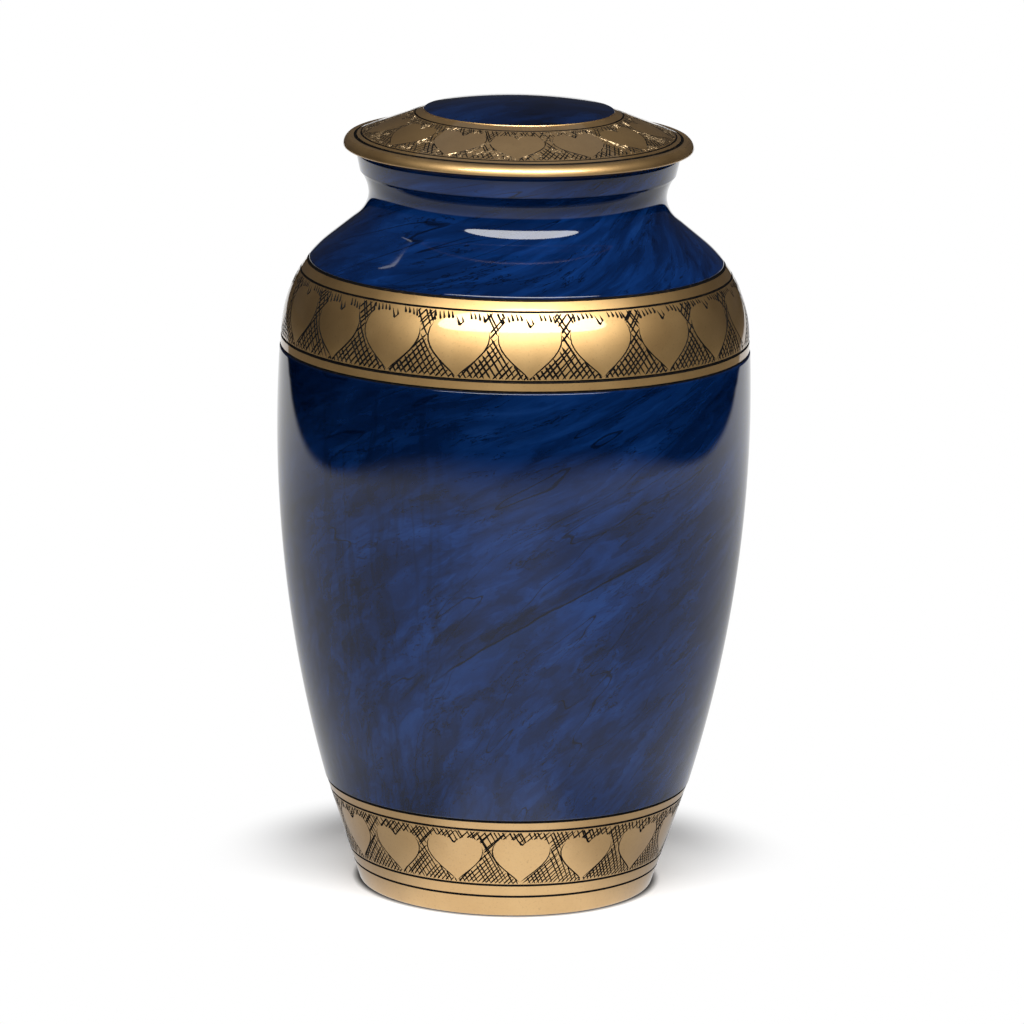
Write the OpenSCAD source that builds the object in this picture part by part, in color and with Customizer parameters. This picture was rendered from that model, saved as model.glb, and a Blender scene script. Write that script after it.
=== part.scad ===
// Cremation urn: a hollow turned brass vessel with a loose brass lid. Millimetres.
// The origin is the centre of the underside, and the axis of the urn is +Z.

/* [Foot] */

// radius of the foot where it stands
foot_radius = 47.5; // [42:0.5:53]
// height of the engraved foot, up to where the belly begins
foot_height = 34.4; // [28:0.2:41]
// width of the ring the urn stands on
foot_ring_width = 6; // [3:0.5:12]
// depth of the hollow turned in the underside
foot_recess = 2.4; // [1:0.2:5]
// thickness of the floor
floor_thickness = 2.4; // [1.6:0.2:5]

/* [Belly and shoulder] */

// radius at the widest point
belly_radius = 76; // [70:0.5:92]
// height of the widest point
belly_height = 155; // [130:1:186]
// radius of the long curve of the belly, seen from the side
belly_arc = 436; // [360:1:530]
// height from the widest point to where the shoulder turns in
shoulder_rise = 28.4; // [22:0.2:34]
// radius of the shoulder's curve, seen from the side
shoulder_arc = 38; // [30:0.5:42]
// lean of the shoulder above that curve, in degrees from upright
shoulder_lean = 51; // [45:0.5:58]
// thickness of the wall
wall = 1.8; // [1.2:0.1:3]

/* [Neck and rim] */

// outer radius of the neck
neck_radius = 47.5; // [39.5:0.5:49]
// radius of the hollow curve between shoulder and neck
neck_arc = 12.4; // [8:0.2:15]
// height of the plain neck under the rim
neck_height = 6.6; // [4:0.2:9]
// how far the rim stands out from the neck
rim_overhang = 4; // [2:0.1:5]
// height of the rim
rim_height = 8; // [6:0.2:10]
// how far the rim stands in past the inside of the neck
mouth_lip = 1.7; // [0.4:0.1:3]

/* [Bands] */

// width of each turned groove
groove_width = 0.9; // [0.5:0.1:1.2]
// depth of each turned groove
groove_depth = 0.45; // [0.2:0.05:0.7]
// height of the plain strip along the top of the foot
foot_top_strip = 3.5; // [2.5:0.1:5]
// height of the plain strip between the two lower grooves of the foot
foot_low_strip = 4.1; // [2.5:0.1:5.5]
// height of the plain strip below the lowest groove of the foot
foot_base_strip = 7; // [5:0.1:9]
// height of the lower edge of the shoulder band
band_low = 177.2; // [172:0.1:180]
// height of the shoulder band, edge to edge
band_height = 27.4; // [24:0.1:30]
// height of the plain strip along each edge of the shoulder band
band_strip = 3.2; // [2:0.1:4.5]

/* [Lid] */

// how far the lid's flange stands out past the rim
flange_overhang = 4.7; // [2:0.1:7]
// thickness of the flange at its edge
flange_thickness = 2.9; // [2:0.1:4]
// width of the flat top of the flange
flange_land = 3.6; // [2:0.1:5]
// slope of the engraved band, in degrees from level
lid_slope = 21; // [16:0.5:26]
// width of the plain strip between the two outer grooves of the band
lid_outer_strip = 1.8; // [1.2:0.1:3]
// radius of the domed top
dome_radius = 30.4; // [26:0.2:36]
// step up from the band to the edge of the dome
dome_step = 0.3; // [0.3:0.1:1]
// rise of the dome above its own edge
dome_rise = 2.8; // [2:0.1:6.5]
// width of the plain strip around the dome
lid_inner_strip = 2.9; // [1.2:0.1:3.2]
// thickness of the lid's wall
lid_wall = 1.8; // [1.4:0.1:2.2]
// depth of the spigot that drops into the mouth
spigot_depth = 12; // [6:0.5:14]
// thickness of the spigot
spigot_wall = 2; // [1.4:0.1:3]
// clearance all round between the spigot and the mouth
lid_clearance = 0.4; // [0.2:0.05:0.8]
// width of the flat of the lid that bears on the rim
seat_width = 3; // [2:0.1:4]

/* [Hidden] */

$fn = 120;

// points along an arc about a centre, both ends included
function arc(c, r, a0, a1, n) =
    [for (i = [0 : n]) let (a = a0 + (a1 - a0) * i / n) [c[0] + r * cos(a), c[1] + r * sin(a)]];

// the long belly curve, and the angle at which the shoulder's curve takes over from it
belly_centre = [belly_radius - belly_arc, belly_height];
turn = asin(shoulder_rise / belly_arc);
turn_point = [belly_centre[0] + belly_arc * cos(turn), belly_height + shoulder_rise];
shoulder_centre = turn_point - shoulder_arc * [cos(turn), sin(turn)];
lean_point = shoulder_centre + shoulder_arc * [cos(shoulder_lean), sin(shoulder_lean)];

// the hollow curve of the neck touches the leaning shoulder and the upright neck
neck_foot_radius = neck_radius + neck_arc * (1 - cos(shoulder_lean));
lean_length = (lean_point[0] - neck_foot_radius) / sin(shoulder_lean);
neck_foot = lean_point + lean_length * [-sin(shoulder_lean), cos(shoulder_lean)];
neck_centre = neck_foot + neck_arc * [cos(shoulder_lean), sin(shoulder_lean)];
neck_low = neck_centre[1];
rim_low = neck_low + neck_height;
rim_top = rim_low + rim_height;
rim_radius = neck_radius + rim_overhang;
mouth_radius = neck_radius - wall - mouth_lip;

// foot: a plain cone whose top lies on the belly's curve
function belly_at(z) =
    belly_centre[0] + sqrt(belly_arc * belly_arc - (z - belly_height) * (z - belly_height));
foot_top_radius = belly_at(foot_height);
foot_angle = atan((foot_top_radius - foot_radius) / foot_height);
foot_wall = wall / cos(foot_angle);
function foot_at(z) = foot_radius + z * tan(foot_angle);

// outer radius at any height from the underside up to the neck
function outer_at(z) =
    z < foot_height ? foot_at(z)
    : z < turn_point[1] ? belly_at(z)
    : z < lean_point[1] ? shoulder_centre[0] + sqrt(shoulder_arc * shoulder_arc - pow(z - shoulder_centre[1], 2))
    : lean_point[0] - (z - lean_point[1]) * tan(shoulder_lean);

// a stretch of the outside, and a turned groove across it
function run(a, b, n) = [for (i = [0 : n]) let (z = a + (b - a) * i / n) [outer_at(z), z]];
function groove(z, w) =
    [[outer_at(z - w / 2), z - w / 2], [outer_at(z) - groove_depth, z], [outer_at(z + w / 2), z + w / 2]];

foot_base_groove = foot_base_strip;
foot_low_groove = foot_base_groove + foot_low_strip;
foot_top_groove = foot_height - foot_top_strip;
band_high = band_low + band_height;
band_low_groove = band_low + band_strip;
band_high_groove = band_high - band_strip;
half = groove_width / 2;
margin = half + 0.1;

outside = concat(
    [[foot_radius, 0]],
    groove(foot_base_groove, groove_width),
    groove(foot_low_groove, groove_width),
    groove(foot_top_groove, groove_width),
    groove(foot_height - half, groove_width),
    run(foot_height + margin, band_low - margin, 30),
    groove(band_low, groove_width),
    groove(band_low_groove, groove_width),
    run(band_low_groove + margin, band_high_groove - margin, 8),
    groove(band_high_groove, groove_width),
    groove(band_high, groove_width),
    run(band_high + margin, max(lean_point[1], band_high + 2 * margin), 4),
    arc(neck_centre, neck_arc, 180 + shoulder_lean, 180, 8));

inside = concat(
    arc(neck_centre, neck_arc + wall, 180, 180 + shoulder_lean, 6),
    arc(shoulder_centre, shoulder_arc - wall, shoulder_lean, turn, 8),
    [for (i = [1 : 16]) let (a = turn + (asin((foot_height - belly_height) / belly_arc) - turn) * i / 16)
        [belly_centre[0] + (belly_arc - wall) * cos(a), belly_height + (belly_arc - wall) * sin(a)]],
    [[foot_at(foot_recess + floor_thickness) - foot_wall, foot_recess + floor_thickness],
     [0, foot_recess + floor_thickness]]);

module urn_body() {
    color([0.07, 0.13, 0.33])
    rotate_extrude()
    polygon(concat(
        [[0, foot_recess], [foot_radius - foot_ring_width - foot_recess, foot_recess],
         [foot_radius - foot_ring_width, 0]],
        outside,
        [[neck_radius, rim_low], [rim_radius - 0.4, rim_low], [rim_radius, rim_low + 0.4],
         [rim_radius, rim_top - 0.4], [rim_radius - 0.4, rim_top],
         [mouth_radius + 0.5, rim_top], [mouth_radius, rim_top - 0.5],
         [mouth_radius, rim_low], [neck_radius - wall, rim_low - 1.5]],
        inside));
}

// lid: the engraved band is one cone, and the wall under it is the same all over
flange_radius = rim_radius + flange_overhang;
flange_top = rim_top + flange_thickness;
band_edge = flange_radius - flange_land;
function lid_at(r) = flange_top + (band_edge - r) * tan(lid_slope);
function lid_under(r) = lid_at(r) - lid_wall / cos(lid_slope);
function lid_groove(r) =
    let (w = half * cos(lid_slope))
    [[r + w, lid_at(r + w)], [r - groove_depth * sin(lid_slope), lid_at(r) - groove_depth * cos(lid_slope)],
     [r - w, lid_at(r - w)]];

lid_outer_groove = band_edge - half;
lid_field_groove = lid_outer_groove - lid_outer_strip;
lid_inner_groove = dome_radius + lid_inner_strip;
dome_low = lid_at(dome_radius) + dome_step;
dome_arc = (dome_radius * dome_radius + dome_rise * dome_rise) / (2 * dome_rise);
dome_centre = [0, dome_low + dome_rise - dome_arc];
dome_half = asin(dome_radius / dome_arc);
dome_in = dome_radius - 1;
dome_in_half = asin(dome_in / (dome_arc - lid_wall));
spigot_radius = mouth_radius - lid_clearance;
spigot_in = spigot_radius - spigot_wall;
seat_in = rim_radius - seat_width;

module lid() {
    color([0.72, 0.55, 0.28])
    rotate_extrude()
    polygon(concat(
        arc(dome_centre, dome_arc - lid_wall, 90, 90 - dome_in_half, 6),
        [[dome_in, lid_under(dome_in)], [spigot_in, lid_under(spigot_in)],
         [spigot_in, rim_top - spigot_depth], [spigot_radius - 0.6, rim_top - spigot_depth],
         [spigot_radius, rim_top - spigot_depth + 0.6], [spigot_radius, lid_under(spigot_radius)],
         [seat_in, lid_under(seat_in)], [seat_in, rim_top],
         [flange_radius - 0.3, rim_top], [flange_radius, rim_top + 0.3],
         [flange_radius, flange_top - 0.5], [flange_radius - 0.5, flange_top],
         [band_edge, flange_top]],
        lid_groove(lid_outer_groove),
        lid_groove(lid_field_groove),
        lid_groove(lid_inner_groove),
        [[dome_radius, lid_at(dome_radius)]],
        arc(dome_centre, dome_arc, 90 - dome_half, 90, 10)));
}

urn_body();
lid();
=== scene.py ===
"""The looks of a marbled blue cremation urn with engraved brass bands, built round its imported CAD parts."""

import math

import bpy
import numpy as np
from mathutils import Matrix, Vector
from mathutils.geometry import delaunay_2d_cdt


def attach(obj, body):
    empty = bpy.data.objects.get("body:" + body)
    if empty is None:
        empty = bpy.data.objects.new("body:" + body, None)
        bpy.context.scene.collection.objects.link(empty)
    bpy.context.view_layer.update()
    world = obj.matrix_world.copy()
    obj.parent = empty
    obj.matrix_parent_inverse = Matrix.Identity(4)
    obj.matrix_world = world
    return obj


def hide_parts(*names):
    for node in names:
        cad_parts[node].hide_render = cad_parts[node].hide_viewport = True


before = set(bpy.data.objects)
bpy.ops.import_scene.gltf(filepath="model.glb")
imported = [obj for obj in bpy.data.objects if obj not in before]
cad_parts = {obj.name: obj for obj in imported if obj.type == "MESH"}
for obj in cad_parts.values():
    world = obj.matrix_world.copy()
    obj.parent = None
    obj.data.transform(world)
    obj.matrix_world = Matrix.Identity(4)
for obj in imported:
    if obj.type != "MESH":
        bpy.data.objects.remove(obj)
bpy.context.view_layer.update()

# ---------------------------------------------------------------------------
# Urn body. One spun brass vessel, closed at the bottom. The belly, shoulder and neck are dipped in marbled
# enamel that stands a little proud of the two bare bands, and the bands are cut by hand with rows of hearts
# and the cuts filled with black lacquer. Inside and underneath, the brass is plain.

MM = 0.001              # the sizes below are in millimetres
SEGMENTS = 240          # divisions round the urn
FOOT_RADIUS = 47.5
FOOT_HEIGHT = 34.4
BELLY_RADIUS = 76.0
BELLY_HEIGHT = 155.0
BELLY_ARC = 436.0
SHOULDER_RISE = 28.4
SHOULDER_ARC = 38.0
SHOULDER_LEAN = 51.0
WALL = 1.8
NECK_RADIUS = 47.5
NECK_ARC = 12.4
RIM_LOW = 233.96
RIM_TOP = 241.96
MOUTH_RADIUS = 44.0
FLOOR_LOW, FLOOR_TOP = 2.4, 4.8
ENAMEL_RISE = 0.2       # how far the enamel stands proud of the brass
GAP_DEPTH = 0.3         # depth of the black gap along the enamel's edges

ENAMEL, BRASS, INLAY, PLAIN, CUT = range(5)     # material slots shared by both pieces


def arc(centre, radius, start, end, count):
    """Points on an arc in the (radius, height) plane; angles in degrees up from level."""
    a = np.radians(np.linspace(start, end, count))
    return np.stack([centre[0] + radius * np.cos(a), centre[1] + radius * np.sin(a)], 1)


turn_angle = math.degrees(math.asin(SHOULDER_RISE / BELLY_ARC))
lean = math.radians(SHOULDER_LEAN)
belly_centre = np.array([BELLY_RADIUS - BELLY_ARC, BELLY_HEIGHT])
turn_point = arc(belly_centre, BELLY_ARC, turn_angle, turn_angle, 1)[0]
shoulder_centre = arc(turn_point, -SHOULDER_ARC, turn_angle, turn_angle, 1)[0]
lean_point = arc(shoulder_centre, SHOULDER_ARC, SHOULDER_LEAN, SHOULDER_LEAN, 1)[0]
neck_foot_radius = NECK_RADIUS + NECK_ARC * (1 - math.cos(lean))
lean_run = (lean_point[0] - neck_foot_radius) / math.sin(lean)
neck_foot = np.array([neck_foot_radius, lean_point[1] + lean_run * math.cos(lean)])
neck_centre = arc(neck_foot, NECK_ARC, SHOULDER_LEAN, SHOULDER_LEAN, 1)[0]


def belly_at(z):
    """Radius of the long belly curve at height z: a circle about a centre behind the axis."""
    return belly_centre[0] + np.sqrt(BELLY_ARC ** 2 - (z - BELLY_HEIGHT) ** 2)


def outer_at(z):
    """Outer radius at any height up to the neck: foot cone, belly circle, shoulder circle, leaning cone."""
    z = np.asarray(z, float)
    foot_top = belly_at(FOOT_HEIGHT)
    foot = FOOT_RADIUS + z * (foot_top - FOOT_RADIUS) / FOOT_HEIGHT
    shoulder = shoulder_centre[0] + np.sqrt(np.maximum(SHOULDER_ARC ** 2 - (z - shoulder_centre[1]) ** 2, 0))
    cone = lean_point[0] - (z - lean_point[1]) * math.tan(lean)
    return np.select([z < FOOT_HEIGHT, z < turn_point[1], z < lean_point[1]],
                     [foot, belly_at(z), shoulder], cone)


def normals_of(points):
    """Outward normals of a profile walked with the solid on its left, by second-order differences."""
    d = np.gradient(points, axis=0, edge_order=2 if len(points) > 2 else 1)
    n = np.stack([d[:, 1], -d[:, 0]], 1)
    return n / np.linalg.norm(n, axis=1)[:, None]


def outside(z, rise=0.0):
    """Points of the urn's outer surface at heights z, lifted along the normal by rise."""
    fine = np.stack([outer_at(np.array([z - 0.01, z, z + 0.01])), np.array([z - 0.01, z, z + 0.01])], -1)
    d = fine[2] - fine[0]
    n = np.stack([d[..., 1], -d[..., 0]], -1)
    n /= np.linalg.norm(n, axis=-1)[..., None]
    return fine[1] + n * np.asarray(rise, float)[..., None]


class Turning:
    """A closed mesh turned about +Z, built section by section from the underside round to the inside.
    Each section has its own smooth normals, so that sections meet at crisp edges."""

    def __init__(self):
        self.points = []        # arrays of x, y, z in mm
        self.count = 0
        self.faces = []
        self.slots = []
        self.normals = []       # one per face corner
        self.corners = []       # texture coordinates, one per face corner
        self.turn = np.linspace(-np.pi, np.pi, SEGMENTS + 1)
        self.last = None        # the last ring: its first index, its radius and height

    def add_points(self, xyz):
        self.points.append(xyz)
        self.count += len(xyz)
        return self.count - len(xyz)

    def around(self, r, z, angle):
        """x, y, z of a radius and height turned to an angle, 0 at the front and growing to the right."""
        return np.stack(np.broadcast_arrays(r * np.sin(angle), -r * np.cos(angle), z), -1)

    def ring(self, r, z):
        if r < 1e-6:
            return self.add_points(np.array([[0.0, 0.0, z]])), r, z
        return self.add_points(self.around(r, z, self.turn[:-1])), r, z

    def section(self, points, slot, low, high):
        """Adds rings along a profile. low and high are the strip of the texture that the section fills."""
        n = normals_of(points)
        run = np.concatenate([[0], np.cumsum(np.linalg.norm(np.diff(points, axis=0), axis=1))])
        v = low + (high - low) * run / run[-1]
        if self.last is None:
            self.last = self.ring(*points[0])
        j = np.arange(SEGMENTS)
        k = (j + 1) % SEGMENTS
        for i in range(1, len(points)):
            a, b = self.last, self.ring(*points[i])
            ring = {0: (a[0] + j, a[0] + k), 1: (b[0] + j, b[0] + k)}
            order = [(0, 0), (0, 1), (1, 1), (1, 0)]
            if a[1] < 1e-6:
                order = [(0, 0), (1, 1), (1, 0)]
                ring[0] = (np.full(SEGMENTS, a[0]),) * 2
            if b[1] < 1e-6:
                order = [(0, 0), (0, 1), (1, 1)]
                ring[1] = (np.full(SEGMENTS, b[0]),) * 2
            face = np.stack([ring[row][side] for row, side in order], 1)
            angle = np.stack([self.turn[j + side] for row, side in order], 1)
            m = np.array([n[i - 1 + row] for row, side in order])
            self.faces.extend(face.tolist())
            self.slots.append(np.full(SEGMENTS, slot))
            self.normals.append(self.around(m[:, 0], m[:, 1], angle).reshape(-1, 3))
            uv = np.stack([(angle + np.pi) / (2 * np.pi),
                           np.broadcast_to([v[i - 1 + row] for row, side in order], angle.shape)], -1)
            self.corners.append(uv.reshape(-1, 2))
            self.last = b

    def engraved(self, table, reference, strokes, low, high, inlay_low, inlay_high, filling=INLAY):
        """Adds one band cut with strokes. The band is unrolled to s = angle times the reference radius and
        t = the first column of table, whose other columns are radius and height; the strokes are laid out
        there, the sheet is cut along them into triangles, each point inside a stroke sinks by its distance
        from the stroke's edge, and the sheet is rolled up again."""
        t0, t1 = table[0, 0], table[-1, 0]
        half = np.pi * reference
        # strokes within 8 mm of the seam at the back are laid out again beyond its other side
        copies = []
        for d in (2 * half, -2 * half):
            near = [k for k, (p, w) in enumerate(strokes) if (p[:, 0] * d).min() < (8 - half) * abs(d)]
            copies += [(strokes[k][0] + [d, 0], strokes[k][1]) for k in near]
        strokes = strokes + copies
        seam = self.turn * reference
        rows = np.linspace(t0, t1, 2 + int(abs(t1 - t0) / 2.6))
        mesh_s, mesh_t = np.meshgrid(seam, rows[1:-1])
        inner = np.stack([mesh_s.ravel(), mesh_t.ravel()], 1)
        inner = inner[np.argsort(inner[:, 0])]
        inner = inner[(sink(inner, strokes, 0.3) <= 0) | (np.abs(inner[:, 0]) > half - 1e-6)]
        points = [np.stack([seam, np.full(len(seam), t)], 1) for t in (t0, t1)] + [inner]
        m = len(seam)
        edges = [(i, i + 1) for i in range(m - 1)] + [(m + i, m + i + 1) for i in range(m - 1)]
        edges += [(0, m), (m - 1, 2 * m - 1)]
        total = 2 * m + len(inner)
        # each stroke is a closed outline, wound anticlockwise, round a line along the bottom of the cut
        polygons = []
        for path, width in strokes:
            d = np.gradient(path, axis=0)
            side = np.stack([-d[:, 1], d[:, 0]], 1) / np.linalg.norm(d, axis=1)[:, None] * width[:, None]
            outline = np.concatenate([path[:1], (path + side)[1:-1], path[-1:], (path - side)[-2:0:-1]])
            points += [outline, path[1:-1]]
            turned = (outline[:, 0] * (np.roll(outline[:, 1], -1) - np.roll(outline[:, 1], 1))).sum()
            ids = total + np.arange(len(outline))
            polygons.append((ids if turned > 0 else ids[::-1]).tolist())
            total += len(outline)
            count = len(path)
            bottom = [ids[0]] + list(range(total, total + count - 2)) + [ids[count - 1]]
            edges += list(zip(bottom[:-1], bottom[1:]))
            total += count - 2
        flat = [Vector(p) for p in np.concatenate(points)]
        out, _, tri, _, _, source = delaunay_2d_cdt(flat, edges, polygons, 0, 1e-4)
        st = np.array([tuple(p) for p in out])
        tri = np.array(tri)
        # a triangle is part of a cut if it came from an outline and does lie inside a stroke
        cut = np.array([len(f) > 0 for f in source])
        middle = st[tri].mean(1)
        area = np.cross(st[tri[:, 1]] - st[tri[:, 0]], st[tri[:, 2]] - st[tri[:, 0]])
        keep = (np.abs(middle[:, 0]) < half) & (middle[:, 1] > min(t0, t1)) & (middle[:, 1] < max(t0, t1))
        keep &= np.abs(area) > 1e-12
        tri, cut, middle = tri[keep], cut[keep], middle[keep]
        order = np.argsort(middle[:, 0])
        cut[order] &= sink(middle[order], strokes, 0.06) > 0
        if area[keep].mean() * (t1 - t0) < 0:
            tri = tri[:, ::-1]
        used = np.unique(tri)
        order = np.argsort(st[used, 0])
        used = used[order]
        depth = np.zeros(len(st))
        depth[used] = np.maximum(sink(st[used], strokes, 0.0), 0)
        # points on the two borders and on the seam at the back are shared with what is already there
        index = np.full(len(st), -1)
        first = self.last
        second = self.ring(table[-1, 1], table[-1, 2])
        step = np.rint((st[:, 0] + half) / (2 * half) * SEGMENTS).astype(int)
        for ring, t in ((first, t0), (second, t1)):
            on = used[np.abs(st[used, 1] - t) < 1e-5]
            index[on] = ring[0] + step[on] % SEGMENTS
            depth[on] = 0
        free = used[index[used] < 0]
        right = free[np.abs(st[free, 0] - half) < 1e-5]
        left = free[np.abs(st[free, 0] + half) < 1e-5]
        st[right, 0], st[left, 0] = half, -half
        free = np.setdiff1d(free, right)
        columns = np.concatenate([table[:, 1:], normals_of(table[:, 1:])], 1)
        r, z, nr, nz = (np.interp(st[:, 1], table[:, 0], column) for column in columns.T)
        xyz = self.around(r - depth * nr, z - depth * nz, st[:, 0] / reference)[free]
        index[free] = self.add_points(xyz) + np.arange(len(free))
        partner = np.abs(st[left, 1] - st[right, 1][:, None]).argmin(1)
        index[right] = index[left[partner]]
        face = index[tri]
        sound = (face[:, 0] != face[:, 1]) & (face[:, 1] != face[:, 2]) & (face[:, 2] != face[:, 0])
        face, tri, cut = face[sound], tri[sound], cut[sound]
        every = np.concatenate(self.points)
        flat_normal = np.cross(every[face[:, 1]] - every[face[:, 0]], every[face[:, 2]] - every[face[:, 0]])
        flat_normal /= np.maximum(np.linalg.norm(flat_normal, axis=1), 1e-12)[:, None]
        smooth = self.around(nr[tri], nz[tri], st[tri, 0] / reference)
        self.normals.append(np.where(cut[:, None, None], flat_normal[:, None, :], smooth).reshape(-1, 3))
        along = (st[tri, 1] - t0) / (t1 - t0)
        v = np.where(cut[:, None], inlay_low + (inlay_high - inlay_low) * along, low + (high - low) * along)
        self.corners.append(np.stack([st[tri, 0] / (2 * half) + 0.5, v], -1).reshape(-1, 2))
        self.faces.extend(face.tolist())
        self.slots.append(np.where(cut, filling, BRASS))
        self.last = second

    def finish(self, name, flow):
        """The mesh object. flow gives the marbling's own coordinates at each point."""
        xyz = np.concatenate(self.points)
        mesh = bpy.data.meshes.new(name)
        mesh.from_pydata(xyz * MM, [], self.faces)
        mesh.polygons.foreach_set("material_index", np.concatenate(self.slots).astype(np.int32))
        mesh.polygons.foreach_set("use_smooth", np.ones(len(self.faces), bool))
        layer = mesh.uv_layers.new(name="OFBake")
        layer.data.foreach_set("uv", np.concatenate(self.corners).astype(np.float32).ravel())
        stream = mesh.attributes.new("flow", "FLOAT_VECTOR", "POINT")
        stream.data.foreach_set("vector", flow(xyz).astype(np.float32).ravel())
        mesh.update()
        mesh.normals_split_custom_set(np.concatenate(self.normals).tolist())
        obj = bpy.data.objects.new(name, mesh)
        bpy.context.scene.collection.objects.link(obj)
        return obj


def sink(points, strokes, margin):
    """How deep each point lies inside the strokes, in mm: half the stroke's width less the distance from its
    middle line, plus a margin; the deepest stroke counts. The points are sorted by their first column."""
    deep = np.full(len(points), -1.0)
    for path, width in strokes:
        for i in range(len(path) - 1):
            a, b = path[i], path[i + 1]
            reach = max(width[i], width[i + 1]) + margin
            lo, hi = np.searchsorted(points[:, 0], [min(a[0], b[0]) - reach, max(a[0], b[0]) + reach])
            if lo == hi:
                continue
            p = points[lo:hi]
            d = b - a
            t = np.clip(((p - a) @ d) / (d @ d), 0, 1)
            gap = np.linalg.norm(p - a - t[:, None] * d, axis=1)
            deep[lo:hi] = np.maximum(deep[lo:hi], width[i] + (width[i + 1] - width[i]) * t + margin - gap)
    return deep


def bezier(*controls, count=7):
    """Points on a cubic curve: the four controls weighted by the binomials of t and 1 - t."""
    t = np.linspace(0, 1, count)[:, None]
    c = [np.array(p, float) for p in controls]
    return (1 - t) ** 3 * c[0] + 3 * t * (1 - t) ** 2 * c[1] + 3 * t * t * (1 - t) * c[2] + t ** 3 * c[3]


def heart_side(wide, tall, notch):
    """The right half of a heart standing on its point: up the side, over the lobe and to the notch."""
    w, h = wide, tall
    return np.concatenate([
        bezier((0, 0), (0.45 * w, 0.24 * h), (w, 0.45 * h), (w, 0.71 * h), count=8)[:-1],
        bezier((w, 0.71 * h), (w, 0.88 * h), (0.8 * w, h), (0.52 * w, h), count=5)[:-1],
        bezier((0.52 * w, h), (0.34 * w, h), (0.15 * w, 0.97 * h), (0, notch * h), count=5)])


def cut_line(a, b, thick, thin, rng):
    """A straight graver cut from a to b: it bites at once, thins a little, and runs out at its end."""
    a, b = np.array(a, float), np.array(b, float)
    bend = np.array([a[1] - b[1], b[0] - a[0]]) * rng.uniform(-0.03, 0.03)
    t = np.array([0, 0.12, 0.85, 1.0])
    path = a + (b - a) * t[:, None] + bend * (t * (1 - t) * 4)[:, None]
    scale = rng.uniform(0.85, 1.15)
    return path, np.array([0, thick, thin, 0.02]) * scale


OUTLINE_END = 10        # the outline's last point before the lobe's top


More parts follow.
